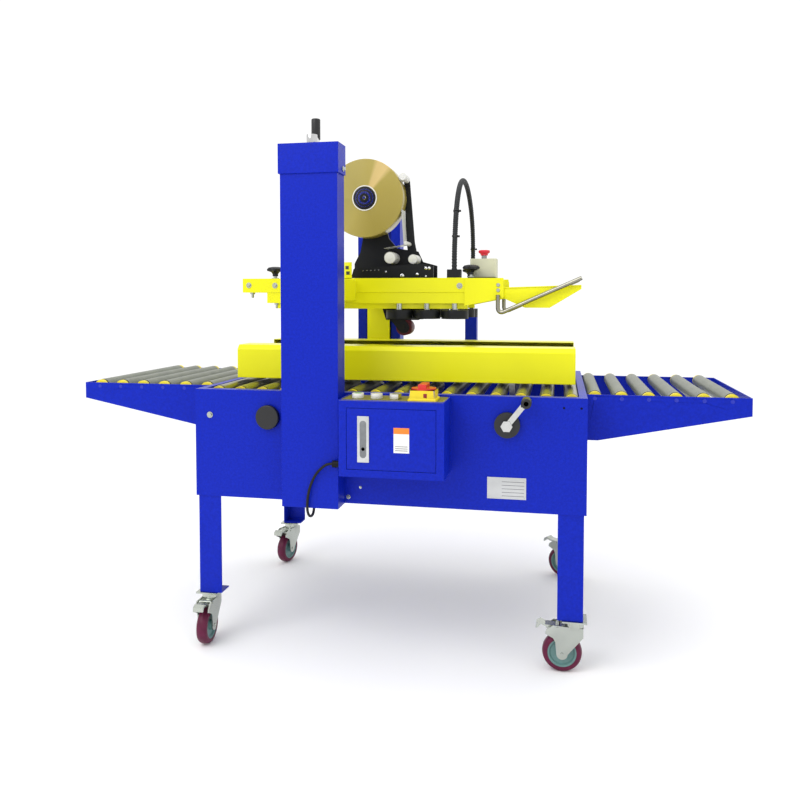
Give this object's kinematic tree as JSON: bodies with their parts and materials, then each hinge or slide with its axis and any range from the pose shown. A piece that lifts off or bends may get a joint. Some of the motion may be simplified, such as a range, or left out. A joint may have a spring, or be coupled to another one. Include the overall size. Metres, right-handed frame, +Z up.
{
  "type": "carton sealer machine",
  "caption": "Semi-automatic carton sealer: roller bed with side belts on casters, and a crank-lifted tape head between two columns.",
  "frame": {"origin": "on the floor under the middle of the machine's overall box", "axes": "+X along the carton's way towards the infeed table, -Y towards the operator's side with the control box, +Z up"},
  "size_m": [1.856, 0.904, 1.424],
  "materials": {
    "blue_paint": "fine textured semi-gloss powder coat",
    "yellow_paint": "smooth gloss powder coat",
    "roller_steel": "zinc-plated tube",
    "roller_sleeve": "grey plastic sleeve",
    "zinc_plate": "bright zinc plating",
    "caster_tyre": "maroon polyurethane tyre",
    "button_plastic": "gloss button caps",
    "belt_rubber": "ribbed rubber",
    "black_plate": "satin black",
    "black_plastic": "moulded black plastic",
    "packing_tape": "wound clear amber tape",
    "cream_plastic": "cream moulded box",
    "red_plastic": "gloss red"
  },
  "bodies": {
    "root": {"bed_frame": "blue_paint", "leg_posts": "blue_paint", "infeed_table_frame": "blue_paint", "outfeed_table_frame": "blue_paint", "bed_rollers": "roller_steel", "front_column": "blue_paint", "rear_column": "blue_paint", "column_caps": "blue_paint", "conduit_post": "blue_paint", "control_box": "blue_paint", "lower_tape_head": "black_plate", "box_cable": "black_plastic", "fasteners": "zinc_plate"},
    "outfeed_roller_1": {"outfeed_roller_1": "roller_sleeve"},
    "outfeed_roller_2": {"outfeed_roller_2": "roller_sleeve"},
    "outfeed_roller_3": {"outfeed_roller_3": "roller_sleeve"},
    "outfeed_roller_4": {"outfeed_roller_4": "roller_sleeve"},
    "outfeed_roller_5": {"outfeed_roller_5": "roller_sleeve"},
    "outfeed_roller_6": {"outfeed_roller_6": "roller_sleeve"},
    "infeed_roller_1": {"infeed_roller_1": "roller_sleeve"},
    "infeed_roller_2": {"infeed_roller_2": "roller_sleeve"},
    "infeed_roller_3": {"infeed_roller_3": "roller_sleeve"},
    "infeed_roller_4": {"infeed_roller_4": "roller_sleeve"},
    "infeed_roller_5": {"infeed_roller_5": "roller_sleeve"},
    "infeed_roller_6": {"infeed_roller_6": "roller_sleeve"},
    "front_left_caster": {"front_left_fork": "zinc_plate"},
    "front_left_wheel": {"front_left_wheel": "caster_tyre"},
    "front_left_pedal": {"front_left_pedal": "zinc_plate"},
    "front_right_caster": {"front_right_fork": "zinc_plate"},
    "front_right_wheel": {"front_right_wheel": "caster_tyre"},
    "front_right_pedal": {"front_right_pedal": "zinc_plate"},
    "rear_left_caster": {"rear_left_fork": "zinc_plate"},
    "rear_left_wheel": {"rear_left_wheel": "caster_tyre"},
    "rear_left_pedal": {"rear_left_pedal": "zinc_plate"},
    "rear_right_caster": {"rear_right_fork": "zinc_plate"},
    "rear_right_wheel": {"rear_right_wheel": "caster_tyre"},
    "rear_right_pedal": {"rear_right_pedal": "zinc_plate"},
    "lift_crank": {"front_lift_screw": "zinc_plate", "lift_crank": "zinc_plate"},
    "rear_lift_screw": {"rear_lift_screw": "zinc_plate"},
    "head": {"head_frame": "yellow_paint", "tape_head_frame": "black_plate", "press_wheels": "black_plastic", "flap_guides": "yellow_paint", "estop_box": "cream_plastic", "head_conduit": "black_plastic"},
    "tape_roll": {"tape_roll": "packing_tape"},
    "applying_arm": {"applying_arm": "black_plate"},
    "estop_button": {"estop_button": "red_plastic"},
    "width_crank": {"width_crank": "zinc_plate"},
    "second_width_screw": {"second_width_screw": "zinc_plate"},
    "front_belt_unit": {"front_guard": "yellow_paint", "front_belt_drive": "belt_rubber"},
    "rear_belt_unit": {"rear_guard": "yellow_paint", "rear_belt_drive": "belt_rubber"},
    "control_door": {"control_door": "blue_paint"},
    "push_button_1": {"push_button_1": "button_plastic"},
    "push_button_2": {"push_button_2": "button_plastic"},
    "push_button_3": {"push_button_3": "button_plastic"},
    "switch_knob": {"switch_knob": "red_plastic"}
  },
  "joints": [
    {"name": "outfeed_roller_1_spin", "type": "hinge", "parent": "root", "child": "outfeed_roller_1", "pos_m": [-0.544, 0.024, 0.688], "axis": [0, 1, 0], "continuous": true},
    {"name": "outfeed_roller_2_spin", "type": "hinge", "parent": "root", "child": "outfeed_roller_2", "pos_m": [-0.6114, 0.024, 0.688], "axis": [0, 1, 0], "continuous": true},
    {"name": "outfeed_roller_3_spin", "type": "hinge", "parent": "root", "child": "outfeed_roller_3", "pos_m": [-0.6788, 0.024, 0.688], "axis": [0, 1, 0], "continuous": true},
    {"name": "outfeed_roller_4_spin", "type": "hinge", "parent": "root", "child": "outfeed_roller_4", "pos_m": [-0.7462, 0.024, 0.688], "axis": [0, 1, 0], "continuous": true},
    {"name": "outfeed_roller_5_spin", "type": "hinge", "parent": "root", "child": "outfeed_roller_5", "pos_m": [-0.8136, 0.024, 0.688], "axis": [0, 1, 0], "continuous": true},
    {"name": "outfeed_roller_6_spin", "type": "hinge", "parent": "root", "child": "outfeed_roller_6", "pos_m": [-0.881, 0.024, 0.688], "axis": [0, 1, 0], "continuous": true},
    {"name": "infeed_roller_1_spin", "type": "hinge", "parent": "root", "child": "infeed_roller_1", "pos_m": [0.544, 0.024, 0.688], "axis": [0, 1, 0], "continuous": true},
    {"name": "infeed_roller_2_spin", "type": "hinge", "parent": "root", "child": "infeed_roller_2", "pos_m": [0.6114, 0.024, 0.688], "axis": [0, 1, 0], "continuous": true},
    {"name": "infeed_roller_3_spin", "type": "hinge", "parent": "root", "child": "infeed_roller_3", "pos_m": [0.6788, 0.024, 0.688], "axis": [0, 1, 0], "continuous": true},
    {"name": "infeed_roller_4_spin", "type": "hinge", "parent": "root", "child": "infeed_roller_4", "pos_m": [0.7462, 0.024, 0.688], "axis": [0, 1, 0], "continuous": true},
    {"name": "infeed_roller_5_spin", "type": "hinge", "parent": "root", "child": "infeed_roller_5", "pos_m": [0.8136, 0.024, 0.688], "axis": [0, 1, 0], "continuous": true},
    {"name": "infeed_roller_6_spin", "type": "hinge", "parent": "root", "child": "infeed_roller_6", "pos_m": [0.881, 0.024, 0.688], "axis": [0, 1, 0], "continuous": true},
    {"name": "front_left_swivel", "type": "hinge", "parent": "root", "child": "front_left_caster", "pos_m": [-0.495, -0.3087, 0.12], "axis": [0, 0, 1], "continuous": true},
    {"name": "front_left_wheel_spin", "type": "hinge", "parent": "front_left_caster", "child": "front_left_wheel", "pos_m": [-0.49291, -0.33863, 0.05], "axis": [0.9976, 0.0698, 0], "continuous": true},
    {"name": "front_left_brake", "type": "hinge", "parent": "front_left_caster", "child": "front_left_pedal", "pos_m": [-0.49204, -0.3511, 0.1165], "axis": [0.9976, 0.0698, 0], "range_deg": [0, 10]},
    {"name": "front_right_swivel", "type": "hinge", "parent": "root", "child": "front_right_caster", "pos_m": [0.495, -0.3087, 0.12], "axis": [0, 0, 1], "continuous": true},
    {"name": "front_right_wheel_spin", "type": "hinge", "parent": "front_right_caster", "child": "front_right_wheel", "pos_m": [0.465, -0.3087, 0.05], "axis": [0, -1, 0], "continuous": true},
    {"name": "front_right_brake", "type": "hinge", "parent": "front_right_caster", "child": "front_right_pedal", "pos_m": [0.4525, -0.3087, 0.1165], "axis": [0, -1, 0], "range_deg": [0, 10]},
    {"name": "rear_left_swivel", "type": "hinge", "parent": "root", "child": "rear_left_caster", "pos_m": [-0.495, 0.3567, 0.12], "axis": [0, 0, 1], "continuous": true},
    {"name": "rear_left_wheel_spin", "type": "hinge", "parent": "rear_left_caster", "child": "rear_left_wheel", "pos_m": [-0.50124, 0.32736, 0.05], "axis": [0.9781, -0.2079, 0], "continuous": true},
    {"name": "rear_left_brake", "type": "hinge", "parent": "rear_left_caster", "child": "rear_left_pedal", "pos_m": [-0.50384, 0.31513, 0.1165], "axis": [0.9781, -0.2079, 0], "range_deg": [0, 10]},
    {"name": "rear_right_swivel", "type": "hinge", "parent": "root", "child": "rear_right_caster", "pos_m": [0.495, 0.3567, 0.12], "axis": [0, 0, 1], "continuous": true},
    {"name": "rear_right_wheel_spin", "type": "hinge", "parent": "rear_right_caster", "child": "rear_right_wheel", "pos_m": [0.46902, 0.3717, 0.05], "axis": [-0.5, -0.866, 0], "continuous": true},
    {"name": "rear_right_brake", "type": "hinge", "parent": "rear_right_caster", "child": "rear_right_pedal", "pos_m": [0.45819, 0.37795, 0.1165], "axis": [-0.5, -0.866, 0], "range_deg": [0, 10]},
    {"name": "lift_crank_turn", "type": "hinge", "parent": "root", "child": "lift_crank", "pos_m": [-0.175, -0.368, 1.35], "axis": [0, 0, 1], "range_deg": [-1351, 16201]},
    {"name": "rear_screw_turn", "type": "hinge", "parent": "root", "child": "rear_lift_screw", "pos_m": [-0.175, 0.416, 0.9], "axis": [0, 0, 1], "range_deg": [-1351, 16201]},
    {"name": "head_lift", "type": "slide", "parent": "root", "child": "head", "axis": [0, 0, 1], "range_m": [-0.03, 0.36], "deforming": ["head_conduit"]},
    {"name": "tape_unwind", "type": "hinge", "parent": "head", "child": "tape_roll", "pos_m": [-0.128, 0.024, 1.249], "axis": [0, 1, 0], "continuous": true},
    {"name": "applying_arm_swing", "type": "hinge", "parent": "head", "child": "applying_arm", "pos_m": [-0.045, 0.024, 0.905], "axis": [0, -1, 0], "range_deg": [0, 40], "stiffness_Nm_per_rad": 2, "springref_deg": -17.19},
    {"name": "estop_press", "type": "slide", "parent": "head", "child": "estop_button", "axis": [0, 0, -1], "range_m": [0, 0.004], "stiffness_N_per_m": 800, "springref_m": -0.001},
    {"name": "width_crank_turn", "type": "hinge", "parent": "root", "child": "width_crank", "pos_m": [0.325, -0.336, 0.63], "axis": [0, -1, 0], "range_deg": [-900, 6750]},
    {"name": "second_screw_turn", "type": "hinge", "parent": "root", "child": "second_width_screw", "pos_m": [-0.311, -0.336, 0.63], "axis": [0, -1, 0], "range_deg": [-901, 6751]},
    {"name": "front_unit_slide", "type": "slide", "parent": "root", "child": "front_belt_unit", "axis": [0, -1, 0], "range_m": [-0.0202, 0.1502]},
    {"name": "rear_unit_slide", "type": "slide", "parent": "root", "child": "rear_belt_unit", "axis": [0, 1, 0], "range_m": [-0.0202, 0.1502]},
    {"name": "door_swing", "type": "hinge", "parent": "root", "child": "control_door", "pos_m": [0.161, -0.449, 0.601], "axis": [0, 0, 1], "range_deg": [0, 110]},
    {"name": "button_1_press", "type": "slide", "parent": "root", "child": "push_button_1", "axis": [0, 0, -1], "range_m": [0, 0.004], "stiffness_N_per_m": 400, "springref_m": -0.001},
    {"name": "button_2_press", "type": "slide", "parent": "root", "child": "push_button_2", "axis": [0, 0, -1], "range_m": [0, 0.004], "stiffness_N_per_m": 400, "springref_m": -0.001},
    {"name": "button_3_press", "type": "slide", "parent": "root", "child": "push_button_3", "axis": [0, 0, -1], "range_m": [0, 0.004], "stiffness_N_per_m": 400, "springref_m": -0.001},
    {"name": "switch_turn", "type": "hinge", "parent": "root", "child": "switch_knob", "pos_m": [0.123, -0.40154, 0.72], "axis": [0, 0, -1], "range_deg": [0, 90]}
  ],
  "couplings": [
    {"joint": "lift_crank_turn", "follows": "head_lift", "rad_per_m": 785.4},
    {"joint": "rear_screw_turn", "follows": "head_lift", "rad_per_m": 785.4},
    {"joint": "second_screw_turn", "follows": "width_crank_turn", "ratio": 1},
    {"joint": "front_unit_slide", "follows": "width_crank_turn", "m_per_rad": 0.0012732},
    {"joint": "rear_unit_slide", "follows": "width_crank_turn", "m_per_rad": 0.0012732}
  ]
}
